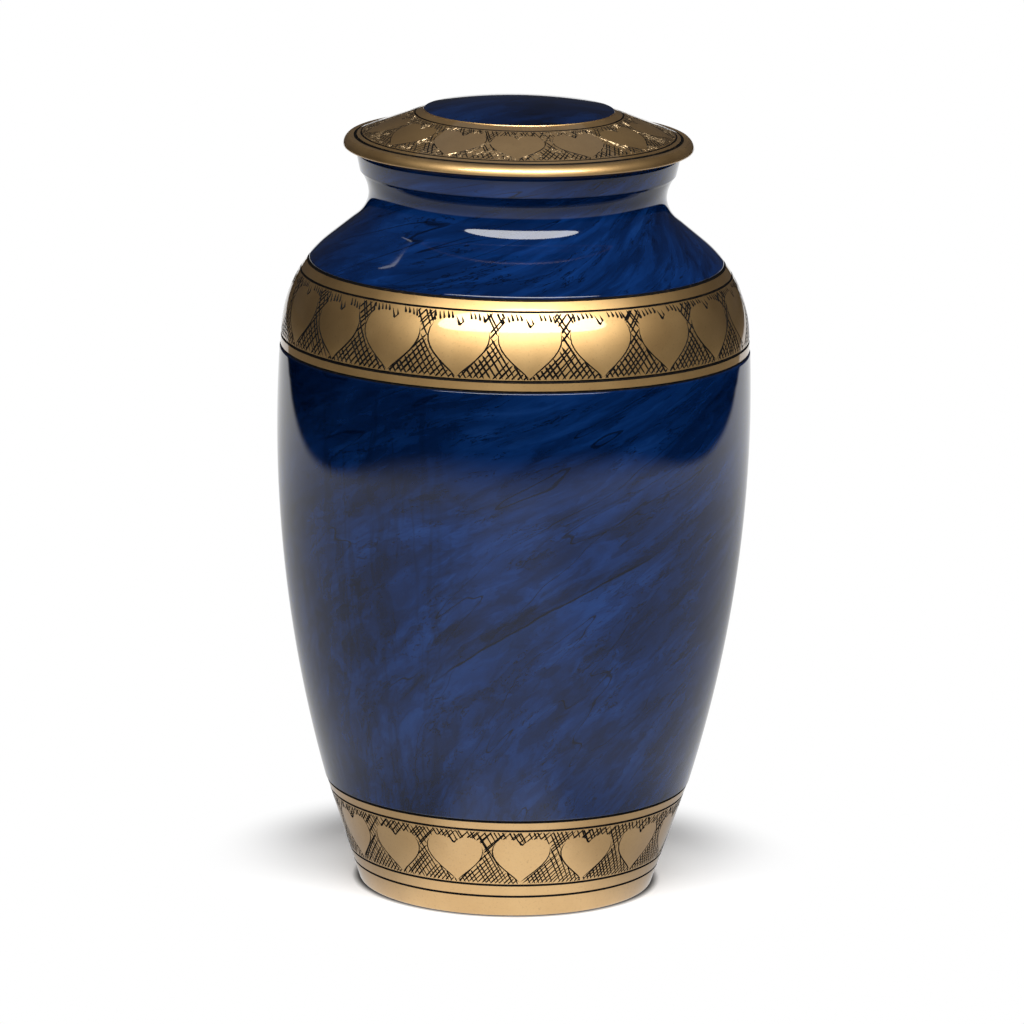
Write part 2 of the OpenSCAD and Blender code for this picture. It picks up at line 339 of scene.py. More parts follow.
def heart_band(hearts, phase, reference, low, high, size, rng, style):
    """Strokes of a row of hearts with hatching between them, on a sheet s = angle times reference, t = up.
    size is (half width, height, notch, height of the point above low). style holds the outline's half width;
    the notch cuts' reach and half width; each set of hatch lines' angle, spacing, half widths and whether it
    runs on above the lobes; and the ticks' spacing, length and half width."""
    wrap = 2 * np.pi * reference
    pitch = wrap / hearts
    wide, tall, notch, lift = size
    side = heart_side(wide, tall, notch)
    top = int(np.argmax(side[:, 1]))
    centres = (np.arange(hearts) * 2 * np.pi / hearts + math.radians(phase) + np.pi) % (2 * np.pi) - np.pi
    centres = np.sort(centres) * reference
    strokes = []
    scales = rng.uniform(0.97, 1.03, hearts)
    shifts = rng.uniform(-0.35, 0.35, hearts)

    def beside(s):
        """The number of the heart nearest to s, and the distance from its middle line."""
        k = np.rint((s - centres[0]) / pitch).astype(int) % hearts
        return k, np.abs((s - centres[0] + pitch / 2) % pitch - pitch / 2 - shifts[k])

    def clear(s, t, margin):
        """Whether points lie outside every heart by the margin."""
        k, x = beside(s)
        x, y = x / scales[k], (t - low - lift) / scales[k]
        out = np.interp(y, side[:top + 1, 1], side[:top + 1, 0], left=-9, right=-9)
        into = np.interp(y, side[top:, 1][::-1], side[top:, 0][::-1], left=-9, right=99)
        return ~((x < out + margin) & (x > into - margin * 0.6))

    for c, scale, shift in zip(centres, scales, shifts):
        for mirror in (1, -1):
            # the outline runs from the point up the side and stops on the shoulder of the lobe
            end = OUTLINE_END + rng.integers(-1, 1)
            path = side[:end] * [mirror, 1] * scale + [c + shift, low + lift]
            width = np.full(len(path), style["outline"]) * rng.uniform(0.85, 1.2)
            width[0], width[-1], width[-2] = 0, 0, width[-2] * 0.7
            strokes.append((path, width))
        # the notch: a long bold cut, a short one that meets it, and a second bold cut beside it
        x, y = c + shift, low + lift + notch * tall * scale
        n = style["notch"]
        strokes.append(cut_line((x + 0.1, y - 0.1), (x - n[0], y + n[1]), n[4], 0.1, rng))
        strokes.append(cut_line((x - 0.1, y - 0.15), (x + n[2], y + n[3]), n[4] * 0.7, 0.08, rng))
        y += 0.75
        strokes.append(cut_line((x + 1.25, y), (x + 0.3, y + n[1] * 0.75), n[4] * 0.9, 0.06, rng))

    # hatching: two sets of slanting lines, each cut wherever it isn't inside a heart
    for slope, gap, thick, thin, over in style["hatch"]:
        lines = int(round(wrap / gap))
        for i in range(lines):
            s0 = -np.pi * reference + (i + rng.uniform(-0.12, 0.12)) * gap
            angle = math.radians(slope + rng.normal(0, 0.9))
            t = np.linspace(low + 0.12, high - 0.12, 260)
            s = s0 + (t - low) / math.tan(angle)
            open_here = clear(s, t, 0.12)
            if not over:
                open_here &= ~((t > low + lift + tall * 0.9) & (beside(s)[1] < wide * 0.8))
            turns = np.flatnonzero(np.diff(np.concatenate([[0], open_here.astype(int), [0]])))
            for lo, hi in zip(turns[::2], turns[1::2] - 1):
                if t[hi] - t[lo] < 0.7 or rng.random() < 0.04:
                    continue
                a, b = (s[lo], t[lo]), (s[hi], t[hi])
                if slope > 90:
                    a, b = b, a         # these cuts bite at the top
                strokes.append(cut_line(a, b, thick, thin, rng))
    # short leaning ticks between the hearts' lobes and the groove above
    if style["ticks"]:
        step, length, thick = style["ticks"]
        for c, scale, shift in zip(centres, scales, shifts):
            for x in np.arange(-wide * 0.86, wide * 0.88, step):
                if -1.9 < x < 2.3:
                    continue
                x += rng.uniform(-0.2, 0.2)
                t = low + lift + tall * scale * (1 - 0.14 * max(abs(x) / wide - 0.5, 0)) + 0.05
                end = min(t + length * rng.uniform(0.8, 1.15), high - 0.12)
                x += c + shift
                strokes.append(cut_line((x + 0.4, t), (x - 0.4, end), thick, 0.16, rng))
    done = []
    for path, width in strokes:
        path = path - [wrap * np.rint(path[:, 0].mean() / wrap), 0]
        path[:, 1] = np.clip(path[:, 1], low + 0.06 + width, high - 0.06 - width)
        done.append((path, width))
    return done


def groove(z, width, depth):
    """A turned groove with a rounded bottom, in the outer surface at height z."""
    across = np.array([-0.5, -0.3, 0, 0.3, 0.5]) * width
    return outside(z + across, -depth * np.array([0, 0.75, 1, 0.75, 0]))


def spaced(a, b, step):
    """Even steps from a to b, none longer than step."""
    return np.linspace(a, b, 2 + int(abs(b - a) / step))


rng = np.random.default_rng(7)

FOOT_BASE_GROOVE, FOOT_LOW_GROOVE, FOOT_TOP_GROOVE = 7.0, 11.1, 30.9
BAND_LOW, BAND_HIGH = 177.2, 204.6
BAND_LOW_GROOVE, BAND_HIGH_GROOVE = 180.4, 201.4

# the texture's strips, from bottom to top: each part's own run of heights in the texture
V_BELLY = (0.004, 0.424)
V_SHOULDER = (0.430, 0.540, 0.585, 0.600)
V_BAND = (0.606, 0.716)
V_FOOT = (0.722, 0.832)
V_INSIDE = (0.838, 0.839, 0.841, 0.842, 0.895, 0.905, 0.916)
V_UNDER = (0.922, 0.945, 0.949, 0.956)
V_INLAY = (0.962, 0.996)

body = Turning()
body.section(np.array([[0, FLOOR_LOW], [20, FLOOR_LOW], [38.9, FLOOR_LOW]]), PLAIN, *V_UNDER[0:2])
body.section(np.array([[38.9, FLOOR_LOW], [39.3, 2.2], [41.3, 0.15], [41.6, 0]]), PLAIN, *V_UNDER[1:3])
body.section(np.array([[41.6, 0], [44, 0], [47.1, 0]]), PLAIN, *V_UNDER[2:4])
low_edge = arc((47.12, 0.4), 0.4, -90, -18, 4)
low_edge[-1] = outside(np.array([0.5]))[0]


def foot_v(z):
    """The texture height of a height on the foot."""
    return V_FOOT[0] + (V_FOOT[1] - V_FOOT[0]) * z / FOOT_HEIGHT


def band_v(z):
    """The texture height of a height on the shoulder band."""
    return V_BAND[0] + (V_BAND[1] - V_BAND[0]) * (z - BAND_LOW) / (BAND_HIGH - BAND_LOW)


def strip(a, b, v):
    """A plain turned strip of the body's brass between two heights."""
    body.section(outside(spaced(a, b, 2.2)), BRASS, v(a), v(b))


def ring_cut(z, width, depth, low, high):
    """A turned groove filled with black."""
    body.section(groove(z, width, depth), INLAY, low, high)


V_CUTS = list(np.linspace(V_INLAY[0], V_INLAY[1], 11))
V_CUTS[10:] = [(V_CUTS[9] + V_INLAY[1]) / 2, V_INLAY[1]]
GROOVE_DEPTH = 0.3
FINE_GROOVE = 0.62
FOOT_GROOVE = 0.80
WIDE_GROOVE = 0.95
half_fine = FINE_GROOVE / 2
half_foot = FOOT_GROOVE / 2
half_wide = WIDE_GROOVE / 2

body.section(low_edge, BRASS, foot_v(0.0), foot_v(0.5))
strip(0.5, FOOT_BASE_GROOVE - half_foot, foot_v)
ring_cut(FOOT_BASE_GROOVE, FOOT_GROOVE, GROOVE_DEPTH, *V_CUTS[0:2])
strip(FOOT_BASE_GROOVE + half_foot, FOOT_LOW_GROOVE - half_foot, foot_v)
ring_cut(FOOT_LOW_GROOVE, FOOT_GROOVE, GROOVE_DEPTH, *V_CUTS[1:3])

FOOT_REFERENCE = 55.0
foot_low, foot_high = FOOT_LOW_GROOVE + half_foot, FOOT_TOP_GROOVE - half_foot
foot_strokes = heart_band(16, 5.5, FOOT_REFERENCE, foot_low, foot_high, (9.1, 15.3, 0.87, 0.7), rng, {
    "outline": 0.21, "notch": (1.8, 2.6, 1.8, 1.7, 0.42),
    "hatch": [(117, 1.5, 0.26, 0.19, True), (46, 1.55, 0.25, 0.18, True)], "ticks": None})
z = np.linspace(foot_low, foot_high, 40)
body.engraved(np.column_stack([z, outside(z)]), FOOT_REFERENCE, foot_strokes,
              foot_v(foot_low), foot_v(foot_high), V_CUTS[2], V_CUTS[4])
ring_cut(FOOT_TOP_GROOVE, FOOT_GROOVE, GROOVE_DEPTH, *V_CUTS[4:6])
FOOT_BORDER = 34.0
GAP_BRASS = 0.35        # the black gap reaches this far to the brass side of a border
GAP_ENAMEL = 0.42       # and this far to the enamel's side, where the enamel's edge starts
EDGE_LOW = 0.2          # depth below the brass at which that edge starts
strip(FOOT_TOP_GROOVE + half_foot, FOOT_BORDER - GAP_BRASS, foot_v)


def border(z, up):
    """The step from brass to enamel: a narrow black gap, from which the enamel's edge rises."""
    across = np.array([-GAP_BRASS, -0.1, 0.25, GAP_ENAMEL])
    rise = np.array([0, -0.28, -GAP_DEPTH, -EDGE_LOW])
    return outside(z + across, rise) if up else outside(z - across[::-1], rise[::-1])


def rounded(z, up):
    """The rounded edge of the enamel beside a border at height z, from the gap to its full thickness."""
    t = np.radians(np.linspace(0, 90, 7))
    across = GAP_ENAMEL + 0.62 * (1 - np.cos(t))
    rise = -EDGE_LOW + (ENAMEL_RISE + EDGE_LOW) * np.sin(t)
    return (z + across, rise) if up else (z - across[::-1], rise[::-1])


def enamel(parts, low, high):
    """One sheet of enamel from (height, rise) runs and ready points, with one run of smooth normals."""
    runs = [outside(p[0], p[1]) if isinstance(p, tuple) else p for p in parts]
    points = runs[0]
    for more in runs[1:]:
        points = np.concatenate([points, more[1:] if np.linalg.norm(points[-1] - more[0]) < 1e-4 else more])
    body.section(points, ENAMEL, low, high)


body.section(border(FOOT_BORDER, True), INLAY, *V_CUTS[5:7])
start = rounded(FOOT_BORDER, True)
finish = rounded(BAND_LOW, False)
heights = np.concatenate([spaced(start[0][-1], 170, 5.5), spaced(170, finish[0][0], 2)[1:]])
enamel([start, (heights, np.full(len(heights), ENAMEL_RISE)), finish], *V_BELLY)
body.section(border(BAND_LOW, False), INLAY, *V_CUTS[6:8])
strip(BAND_LOW + GAP_BRASS, BAND_LOW_GROOVE - half_wide, band_v)
ring_cut(BAND_LOW_GROOVE, WIDE_GROOVE, 0.4, *V_CUTS[7:9])

BAND_REFERENCE = 73.0
band_low, band_high = BAND_LOW_GROOVE + half_wide, BAND_HIGH_GROOVE - half_fine
band_strokes = heart_band(20, 3.9, BAND_REFERENCE, band_low, band_high, (10.0, 17.5, 0.90, 0.5), rng, {
    "outline": 0.24, "notch": (1.5, 2.8, 1.5, 1.3, 0.45),
    "hatch": [(122, 1.9, 0.33, 0.26, False), (48, 1.95, 0.31, 0.24, False)], "ticks": (1.5, 2.3, 0.44)})
z = np.linspace(band_low, band_high, 60)
body.engraved(np.column_stack([z, outside(z)]), BAND_REFERENCE, band_strokes,
              band_v(band_low), band_v(band_high), V_CUTS[8], V_CUTS[9])
ring_cut(BAND_HIGH_GROOVE, FINE_GROOVE, GROOVE_DEPTH, *V_CUTS[9:11])
strip(BAND_HIGH_GROOVE + half_fine, BAND_HIGH - GAP_BRASS, band_v)
body.section(border(BAND_HIGH, True), INLAY, *V_CUTS[10:12])

# shoulder, neck and rim: the neck is spun hollow and runs out again to the rim, whose face leans in below


def hollow(start, facing, bends):
    """A chain of hollow arcs that follow on smoothly, each bending by its own radius to its own angle.
    A point is the arc's centre less the radius times the facing direction, in degrees up from level."""
    points = [np.array([start])]
    for radius, turned in bends:
        centre = arc(points[-1][-1], radius, facing, facing, 1)[0]
        points.append(arc(centre, -radius, facing, turned, 3 + int(abs(turned - facing) / 5))[1:])
        facing = turned
    return np.concatenate(points)


start = rounded(BAND_HIGH, True)
heights = spaced(start[0][-1], neck_foot[1] - 0.4, 1.1)
NECK_START = (52.04, 218.03)    # on the shoulder's cone
NECK_BENDS = [(12.2, 20), (8.5, -6), (12.2, -24), (20.0, -31), (0.5, -60)]
neck = hollow(NECK_START, SHOULDER_LEAN, NECK_BENDS)
RIM_LEAN = 9.5
rim = np.concatenate([arc((50.25, RIM_LOW + 0.14), 0.45, -60, -RIM_LEAN, 5),
                      arc((49.6, RIM_TOP - 2.3), 2.3, -RIM_LEAN, 90, 12)])
enamel([start, (heights, np.full(len(heights), ENAMEL_RISE)), neck], *V_SHOULDER[0:2])
body.section(np.concatenate([neck[-1:], rim]), ENAMEL, *V_SHOULDER[1:3])
body.section(np.array([rim[-1], [47, RIM_TOP], [MOUTH_RADIUS + 0.5, RIM_TOP]]), PLAIN, *V_SHOULDER[2:4])

# inside: the mouth, then the wall's true thickness all the way down to the floor
belly_in = arc(belly_centre, BELLY_ARC - WALL, turn_angle,
               math.degrees(math.asin((FOOT_HEIGHT - BELLY_HEIGHT) / BELLY_ARC)), 14)
inside = np.concatenate([
    [[MOUTH_RADIUS + 0.5, RIM_TOP], [MOUTH_RADIUS, RIM_TOP - 0.5], [MOUTH_RADIUS, RIM_LOW],
     [NECK_RADIUS - WALL, RIM_LOW - 1.5]],
    arc(neck_centre, NECK_ARC + WALL, 180, 180 + SHOULDER_LEAN, 8),
    arc(shoulder_centre, SHOULDER_ARC - WALL, SHOULDER_LEAN, turn_angle, 12), belly_in[1:]])
for i, stretch in enumerate([inside[:2], inside[1:3], inside[2:4], inside[3:]]):
    body.section(stretch, PLAIN, *V_INSIDE[i:i + 2])
FOOT_SLOPE = 18.4       # lean of the foot's wall, in degrees from upright
foot_wall = inside[-1]
floor_corner = np.array([float(outer_at(FLOOR_TOP)) - WALL / math.cos(math.radians(FOOT_SLOPE)), FLOOR_TOP])
body.section(np.array([foot_wall, (foot_wall + floor_corner) / 2, floor_corner]), PLAIN, *V_INSIDE[4:6])
body.section(np.array([floor_corner, [25, FLOOR_TOP], [0, FLOOR_TOP]]), PLAIN, *V_INSIDE[5:7])


def body_flow(xyz):
    """Coordinates that run along the marbling, in cm: the angle is wound back as height grows, by an amount
    that itself changes round the urn, so that streaks climb at a slant; height counts for less."""
    angle = np.arctan2(xyz[:, 0], -xyz[:, 1])
    rise = xyz[:, 2] - 120      # the streaks keep their place at 120 mm up
    wind = (1.05 + 0.45 * np.cos(angle - math.radians(60))) / 75
    wound = angle - wind * rise - 0.00004 * rise ** 2
    return np.stack([6.2 * np.sin(wound), -6.2 * np.cos(wound), 0.080 * xyz[:, 2]], 1)


urn = body.finish("enamelled_body", body_flow)


def rgb(r, g, b):
    return (r, g, b, 1.0)


class Value:
    """A node's output that can be added, multiplied and so on: each operation makes one Math node."""

    def __init__(self, graph, socket):
        self.graph = graph
        self.socket = socket

    def __add__(self, other):
        return self.graph.math("ADD", self, other)

    def __radd__(self, other):
        return self.graph.math("ADD", other, self)

    def __sub__(self, other):
        return self.graph.math("SUBTRACT", self, other)

    def __rsub__(self, other):
        return self.graph.math("SUBTRACT", other, self)

    def __mul__(self, other):
        return self.graph.math("MULTIPLY", self, other)

    def __rmul__(self, other):
        return self.graph.math("MULTIPLY", other, self)

    def __truediv__(self, other):
        return self.graph.math("DIVIDE", self, other)

    def __rtruediv__(self, other):
        return self.graph.math("DIVIDE", other, self)


def set_stops(ramp, stops):
    """Gives a colour ramp its stops, each a place from 0 to 1 and a colour."""
    while len(ramp.elements) < len(stops):
        ramp.elements.new(1.0)
    for element, (place, colour) in zip(ramp.elements, stops):
        element.position = place
        element.color = (*colour, 1)


class Graph:
    """The nodes of one material, or of the world, made by short calls."""

    def __init__(self, owner, output="Material"):
        owner.use_nodes = True
        self.owner = owner
        self.nodes = owner.node_tree.nodes
        self.links = owner.node_tree.links
        self.nodes.clear()
        self.output = self.nodes.new("ShaderNodeOutput" + output)

    def put(self, socket, value):
        if isinstance(value, Value):
            self.links.new(value.socket, socket)
        else:
            socket.default_value = value

    def node(self, kind, settings=None, inputs=None, output=0):
        """Makes any node: its type, its settings, its inputs by name or number, and the output wanted."""
        n = self.nodes.new("ShaderNode" + kind)
        for key, value in (settings or {}).items():
            if key == "stops":
                set_stops(n.color_ramp, value)
            else:
                setattr(n, key, value)
        for key, value in (inputs or {}).items():
            self.put(n.inputs[key], value)
        return Value(self, n.outputs[output])

    def math(self, operation, a, b=0.0):
        return self.node("Math", {"operation": operation}, {0: a, 1: b})

    def vector(self, operation, a, b):
        return self.node("VectorMath", {"operation": operation}, {0: a, 1: b})

    def length(self, a):
        return self.node("VectorMath", {"operation": "LENGTH"}, {0: a}, output="Value")

    def axis(self, a, number):
        """One of a vector's three parts."""
        return self.node("SeparateXYZ", {}, {0: a}, output=number)

    def scaled(self, a, factor):
        return self.node("VectorMath", {"operation": "SCALE"}, {0: a, "Scale": factor})

    def noise(self, where, scale, detail=4.0, roughness=0.55, distortion=0.0, output=0):
        return self.node("TexNoise", {}, {"Vector": where, "Scale": scale, "Detail": detail,
                                          "Roughness": roughness, "Distortion": distortion}, output)

    def ease(self, value, low, high, to_low=0.0, to_high=1.0):
        """A smooth step from to_low to to_high as the value goes from low to high, either way round."""
        return self.node("MapRange", {"interpolation_type": "SMOOTHSTEP"},
                         {"Value": value, "From Min": low, "From Max": high,
                          "To Min": to_low, "To Max": to_high})

    def mix(self, factor, a, b):
        return self.node("Mix", {"data_type": "RGBA"}, {0: factor, 6: a, 7: b}, output=2)

    def bump(self, strength, distance, height):
        return self.node("Bump", {}, {"Strength": strength, "Distance": distance, "Height": height})

    def glow(self, strength):
        return self.node("Emission", {}, {"Color": rgb(1, 1, 1), "Strength": strength})

    def ramp(self, value, stops):
        return self.node("ValToRGB", {"stops": stops}, {0: value})

    def finish(self, shader):
        self.links.new(shader.socket, self.output.inputs[0])
        return self.owner

    def surface(self, **inputs):
        names = {key.replace("_", " "): value for key, value in inputs.items()}
        return self.finish(self.node("BsdfPrincipled", {}, names))


def marbled_enamel(name, shade):
    """Deep blue enamel swirled with lighter blue and near-black under one glossy skin. shade darkens it."""
    g = Graph(bpy.data.materials.new(name))
    flow = g.node("Attribute", {"attribute_name": "flow"}, output="Vector")
    place = g.node("TexCoord", output="Object")

    def centred(where, scale, detail):
        return g.vector("SUBTRACT", g.noise(where, scale, detail, output=1), (0.5, 0.5, 0.5))

    # the sheet is dragged in broad loops, then torn in small ones, into soft patches with ragged edges
    bent = g.vector("ADD", flow, g.scaled(centred(flow, 0.32, 2.0), 1.9))
    torn = g.vector("ADD", bent, g.scaled(centred(flow, 1.1, 4.0), 0.95))
    cloud = g.noise(torn, 0.55, 5.0, 0.55)
    feather = g.noise(g.vector("ADD", torn, (3.0, 9.0, 5.0)), 1.7, 6.0, 0.62, 0.5)
    patch = g.noise(g.vector("ADD", torn, (5.0, 1.0, 2.0)), 0.95, 5.0, 0.60)
    tone = cloud * 0.44 + feather * 0.36 + g.ease(patch, 0.48, 0.525, 0.07, 0.13)
    colour = g.ramp(tone, [(0.32, (0.0005, 0.0045, 0.023)), (0.45, (0.0010, 0.0111, 0.056)),
                           (0.55, (0.0020, 0.0201, 0.098)), (0.70, (0.0070, 0.0410, 0.172))])

    # near-black wisps along the drag, in loose groups
    drag = g.vector("MULTIPLY", torn, (1.0, 1.0, 0.55))
    wisp = g.ease(g.noise(g.vector("ADD", drag, (31.0, 7.0, 3.0)), 1.3, 7.0, 0.62), 0.55, 0.66)
    group = g.ease(g.noise(bent, 0.45, 2.0), 0.44, 0.60)
    colour = g.mix(wisp * group * 0.56, colour, rgb(0.0006, 0.0022, 0.0090))

    # hairlines: level lines of noises, one drawn out along the drag, one crazed, one round the patches
    crack = rgb(0.0005, 0.0014, 0.0060)
    long_field = g.noise(g.vector("MULTIPLY", bent, (1.0, 1.0, 0.30)), 0.55, 2.0, 0.4)
    long_line = g.ease(g.math("ABSOLUTE", long_field - 0.52), 0.0010, 0.0040, 1.0, 0.0)
    craze_field = g.noise(g.vector("ADD", torn, (12.0, 2.0, 8.0)), 1.6, 4.0, 0.6)
    craze_line = g.ease(g.math("ABSOLUTE", craze_field - 0.5), 0.003, 0.012, 1.0, 0.0)
    torn_line = g.ease(g.math("ABSOLUTE", patch - 0.482), 0.002, 0.008, 1.0, 0.0)
    sparse = g.ease(g.noise(flow, 1.1, 3.0), 0.47, 0.60)
    colour = g.mix(long_line * 0.75, colour, crack)
    colour = g.mix(g.math("MAXIMUM", craze_line, torn_line) * sparse * 0.75, colour, crack)

    # upright folds hang down the left of the front
    x, y, height = (g.axis(place, i) for i in range(3))
    angle = g.math("ARCTAN2", x, 0.0 - y)
    sway = g.noise(place, 24.0, 4.0) * 1.6
    hanging = g.node("CombineXYZ", {}, {0: angle * 13.0 + sway, 1: height * 17.0, 2: 3.0})
    hung = g.ease(g.noise(hanging, 0.9, 5.0, 0.60, 1.3), 0.50, 0.62)
    left = g.ease(angle, -0.10, -0.50) * g.ease(angle, -2.2, -1.6) * g.ease(height, 0.178, 0.168)
    colour = g.mix(hung * left * 0.36, colour, crack)

    # one long fold climbs to the right across the front: a dark line along it, with painted shade above it
    # and painted light below it in place of the fold's relief
    fold = angle * 0.0455 + 0.099 - angle * angle * 0.015
    over = height - fold + (g.noise(flow, 2.2, 4.0) - 0.5) * 0.0022
    ends = g.ease(angle, -0.40, -0.22) * g.ease(angle, 0.74, 0.55)
    crest = g.ease(g.math("ABSOLUTE", over), 0.00015, 0.0007, 0.85, 0.0)
    # painted shade above the fold, painted light below it
    above = g.ease(over, 0.0, 0.0002) * g.ease(over, 0.008, 0.0, 0.0, 0.30)
    below = g.ease(over, -0.0002, -0.0004) * g.ease(over, -0.009, 0.0, 0.0, 0.30)
    colour = g.mix(g.math("MAXIMUM", crest, above) * ends, colour, crack)
    colour = g.mix(below * ends, colour, rgb(0.0045, 0.0330, 0.140))

    # it is darker just below the shoulder band, more so on the left; in the hollow under the rim a painted
    # shadow darkens it
    dark_and_shadow_tint = rgb(0.0004, 0.0028, 0.0120)
    by_side = g.ease(angle, -1.1, 0.6, 0.75, 0.35)
    darker_below_band = g.ease(height, 0.128, 0.168) * g.ease(height, 0.182, 0.176) * by_side
    colour = g.mix(darker_below_band, colour, dark_and_shadow_tint)
    # painted shadow: the enamel is darkened in the hollow under the rim, where the rim's shade falls
    painted_shadow_under_rim = g.ease(height, 0.2262, 0.2300) * g.ease(height, 0.2345, 0.2338)
    colour = g.mix(painted_shadow_under_rim * 0.6, colour, dark_and_shadow_tint)
    colour = g.mix(1.0 - shade, colour, rgb(0.0010, 0.0014, 0.0030))

    waves = g.bump(0.10, 0.0004, g.noise(place, 30.0, 2.0))
    return g.surface(Base_Color=colour, Roughness=0.05, IOR=1.5, Normal=waves)


def satin_brass():
    """Brass with a fine satin grain from the wheel, cloudy in places, under clear gloss lacquer."""
    g = Graph(bpy.data.materials.new("Satin brass"))
    place = g.node("TexCoord", output="Object")
    cloud = g.noise(place, 45.0, 4.0, 0.6)
    grain = g.noise(place, 1500.0, 3.0, 0.6)
    colour = g.mix(g.ease(cloud, 0.35, 0.7), rgb(0.66, 0.412, 0.168), rgb(0.74, 0.482, 0.208))
    colour = g.mix(g.ease(grain, 0.56, 0.74, 0.0, 0.35), colour, rgb(0.40, 0.235, 0.095))
    rough = 0.40 + cloud * 0.10 + grain * 0.06
    return g.surface(Base_Color=colour, Metallic=1.0, Roughness=rough, Coat_Weight=1.0, Coat_Roughness=0.05,
                     Coat_IOR=1.5, Normal=g.bump(0.16, 0.00012, grain))


def black_inlay():
    """Black lacquer wiped into the cuts, matt, with a little brass dust in it."""
    g = Graph(bpy.data.materials.new("Black inlay"))
    place = g.node("TexCoord", output="Object")
    dust = g.ease(g.noise(place, 700.0, 3.0), 0.5, 0.72)
    colour = g.mix(dust, rgb(0.0030, 0.0025, 0.0022), rgb(0.018, 0.012, 0.007))
    return g.surface(Base_Color=colour, Roughness=0.7, Specular_IOR_Level=0.12)


def cut_brass():
    """The lid's cuts: bright brass walls with black left in them in patches."""
    g = Graph(bpy.data.materials.new("Cut brass"))
    place = g.node("TexCoord", output="Object")
    left = g.ease(g.noise(place, 260.0, 4.0, 0.7), 0.36, 0.48)
    colour = g.mix(left, rgb(0.70, 0.50, 0.28), rgb(0.007, 0.005, 0.003))
    return g.surface(Base_Color=colour, Metallic=1.0 - left, Roughness=0.34 + left * 0.4,
                     Specular_IOR_Level=0.15)


def plain_brass():
    """Bare spun brass inside and underneath, duller and browner with age."""
    g = Graph(bpy.data.materials.new("Plain brass"))
    place = g.node("TexCoord", output="Object")
    stain = g.noise(place, 30.0, 6.0, 0.62)
    rings = g.noise(g.vector("MULTIPLY", place, (1.0, 1.0, 400.0)), 3.0, 2.0)
    colour = g.mix(g.ease(stain, 0.35, 0.68), rgb(0.42, 0.25, 0.105), rgb(0.62, 0.43, 0.20))
    rough = 0.38 + stain * 0.16
    return g.surface(Base_Color=colour, Metallic=1.0, Roughness=rough, Normal=g.bump(0.10, 0.0002, rings))


finishes = [marbled_enamel("Marbled enamel", 1.0), satin_brass(), black_inlay(), plain_brass(), cut_brass()]
for material in finishes:
    urn.data.materials.append(material)

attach(urn, "root")
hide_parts("urn_body")

# ---------------------------------------------------------------------------
# Lid. A spun brass cap with a short spigot that drops into the mouth. Its flat flange bears on the rim, its
# sloping band is engraved like the body's, and the low dome in the middle is enamelled.

FLANGE_TOP = RIM_TOP + 2.9
BAND_EDGE = 52.6
LID_SLOPE = 21.0
DOME_RADIUS = 30.4
DOME_STEP = 0.3
DOME_RISE = 2.8
LID_WALL = 1.8
SPIGOT_RADIUS = 43.6
SPIGOT_IN = 41.6
SPIGOT_LOW = RIM_TOP - 12
SEAT_IN = 48.5
EDGE_OUT = 55.6         # where the flange's underside turns up
CUT_OUT = 52.75         # where its flat top drops into the outer groove
LID_BAND_OUT = 51.75
LID_FIELD_GROOVE = 50.35
LID_INNER_GROOVE = 33.3
LID_HALF_CUT = 0.27     # half the width of the two narrow grooves

slope = math.radians(LID_SLOPE)


def lid_at(r):
    """Height of the sloping band at radius r."""
    return FLANGE_TOP + (BAND_EDGE - np.asarray(r, float)) * math.tan(slope)


def lid_under(r):
    """Height of the band's underside at radius r: the wall is the same all over."""
    return lid_at(r) - LID_WALL / math.cos(slope)


def lid_top(r, sunk=0.0):
    """Points on the lid's sloping band, sunk along its normal."""
    sunk = np.asarray(sunk, float)
    r = np.asarray(r, float)
    return np.stack([r - sunk * math.sin(slope), lid_at(r) - sunk * math.cos(slope)], -1)


dome_low = float(lid_at(DOME_RADIUS)) + DOME_STEP
dome_arc = (DOME_RADIUS ** 2 + DOME_RISE ** 2) / (2 * DOME_RISE)
dome_centre = (0.0, dome_low + DOME_RISE - dome_arc)
dome_half = math.degrees(math.asin(DOME_RADIUS / dome_arc))
dome_in = DOME_RADIUS - 1
dome_in_half = math.degrees(math.asin(dome_in / (dome_arc - LID_WALL)))

# the texture's strips again, for the lid
L_BAND = (0.004, 0.324, 0.330)
L_FLANGE = (0.336, 0.380, 0.390)
L_DOME = (0.406, 0.700)
L_UNDER = (0.706, 0.780, 0.930)
L_INLAY = (0.936, 0.996)
steps = list(np.linspace(L_INLAY[0], L_INLAY[1], 5))
steps[2] = (steps[1] + steps[2]) / 2

lid = Turning()
under = arc(dome_centre, dome_arc - LID_WALL, 90, 90 - dome_in_half, 7)
under[0, 0] = 0
corners = np.array([[dome_in, lid_under(dome_in)], [SPIGOT_IN, lid_under(SPIGOT_IN)],
                    [SPIGOT_IN, SPIGOT_LOW], [SPIGOT_RADIUS - 0.6, SPIGOT_LOW],
                    [SPIGOT_RADIUS, SPIGOT_LOW + 0.6], [SPIGOT_RADIUS, lid_under(SPIGOT_RADIUS)],
                    [SEAT_IN, lid_under(SEAT_IN)], [SEAT_IN, RIM_TOP],
                    [53.2, RIM_TOP], [EDGE_OUT, RIM_TOP - 0.35]])
lid.section(under, PLAIN, *L_UNDER[0:2])
path = np.concatenate([under[-1:], corners])
levels = np.linspace(L_UNDER[1], L_UNDER[2], len(path))
for i in range(len(path) - 1):
    lid.section(path[i:i + 2], PLAIN, levels[i], levels[i + 1])
edge = np.concatenate([arc((EDGE_OUT, RIM_TOP + 0.15), 0.5, -90, 5, 6),
                       arc((53.15, 242.1), 2.95, 6, 64, 9),
                       [[54.0, FLANGE_TOP - 0.02], [53.6, FLANGE_TOP]]])
lid.section(edge, BRASS, *L_FLANGE[0:2])
lid.section(np.array([edge[-1], [53.1, FLANGE_TOP], [CUT_OUT, FLANGE_TOP]]), BRASS, *L_FLANGE[1:3])
